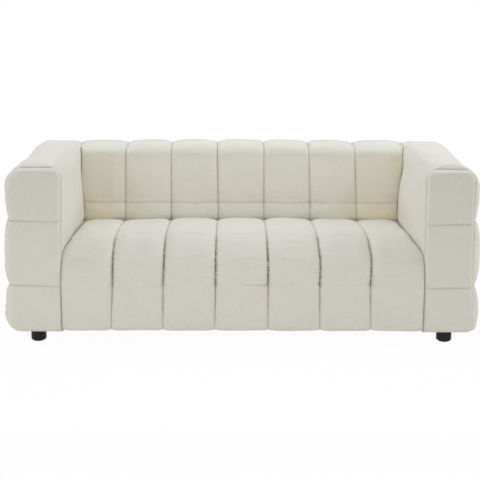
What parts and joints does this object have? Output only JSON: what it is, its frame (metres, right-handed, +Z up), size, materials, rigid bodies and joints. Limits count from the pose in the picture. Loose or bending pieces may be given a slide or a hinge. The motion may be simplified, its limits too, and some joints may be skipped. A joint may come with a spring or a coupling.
{
  "type": "tuxedo sofa",
  "caption": "Fixed sofa with padded box arms as high as the back, a channelled bench seat that runs over its front edge, a channelled back and short round feet.",
  "frame": {"origin": "on the floor, under the centre of the sofa's box", "axes": "+X to the sitter's left, +Y to the outside back, +Z up"},
  "size_m": [2.1, 0.88, 0.81],
  "materials": {
    "boucle": "ivory looped pile, matt",
    "foam": "open-cell foam, matt",
    "felt": "needled grey felt",
    "spring_steel": "oiled spring wire",
    "clip_steel": "phosphated sheet steel",
    "softwood": "planed softwood, unfinished",
    "plywood": "sanded birch plywood",
    "hardboard": "tempered hardboard",
    "black_cloth": "spun-bonded dust cloth",
    "elastic": "woven elastic",
    "black_plastic": "moulded black plastic, satin",
    "glide": "hard rubber",
    "zinc_steel": "bright zinc plate"
  },
  "bodies": {
    "root": {"left_arm_cover": "boucle", "left_arm_front_facing": "boucle", "left_arm_rear_facing": "boucle", "left_arm_end_boards": "plywood", "left_arm_posts": "softwood", "left_arm_top_board": "plywood", "left_arm_base_board": "softwood", "left_arm_bolt_rail": "softwood", "left_arm_skins": "hardboard", "right_arm_cover": "boucle", "right_arm_front_facing": "boucle", "right_arm_rear_facing": "boucle", "right_arm_end_boards": "plywood", "right_arm_posts": "softwood", "right_arm_top_board": "plywood", "right_arm_base_board": "softwood", "right_arm_bolt_rail": "softwood", "right_arm_skins": "hardboard", "seat_cover": "boucle", "seat_foam": "foam", "seat_felt": "felt", "seat_springs": "spring_steel", "spring_clips": "clip_steel", "seat_front_rail": "softwood", "seat_rear_rail": "softwood", "seat_side_rails": "softwood", "seat_bearers": "softwood", "seat_corner_blocks": "softwood", "dust_cover": "black_cloth", "back_cover": "boucle", "back_foam": "foam", "back_straps": "elastic", "back_ribs": "plywood", "back_top_rail": "softwood", "back_base_rail": "softwood", "back_battens": "softwood", "back_panel": "boucle", "front_left_foot": "black_plastic", "front_right_foot": "black_plastic", "rear_left_foot": "black_plastic", "rear_right_foot": "black_plastic", "centre_foot": "black_plastic", "foot_glides": "glide", "foot_studs": "zinc_steel", "foot_inserts": "zinc_steel", "arm_bolts": "zinc_steel", "arm_bolt_washers": "zinc_steel", "arm_bolt_inserts": "zinc_steel", "back_bolts": "zinc_steel", "back_bolt_washers": "zinc_steel", "back_bolt_inserts": "zinc_steel"}
  },
  "joints": []
}
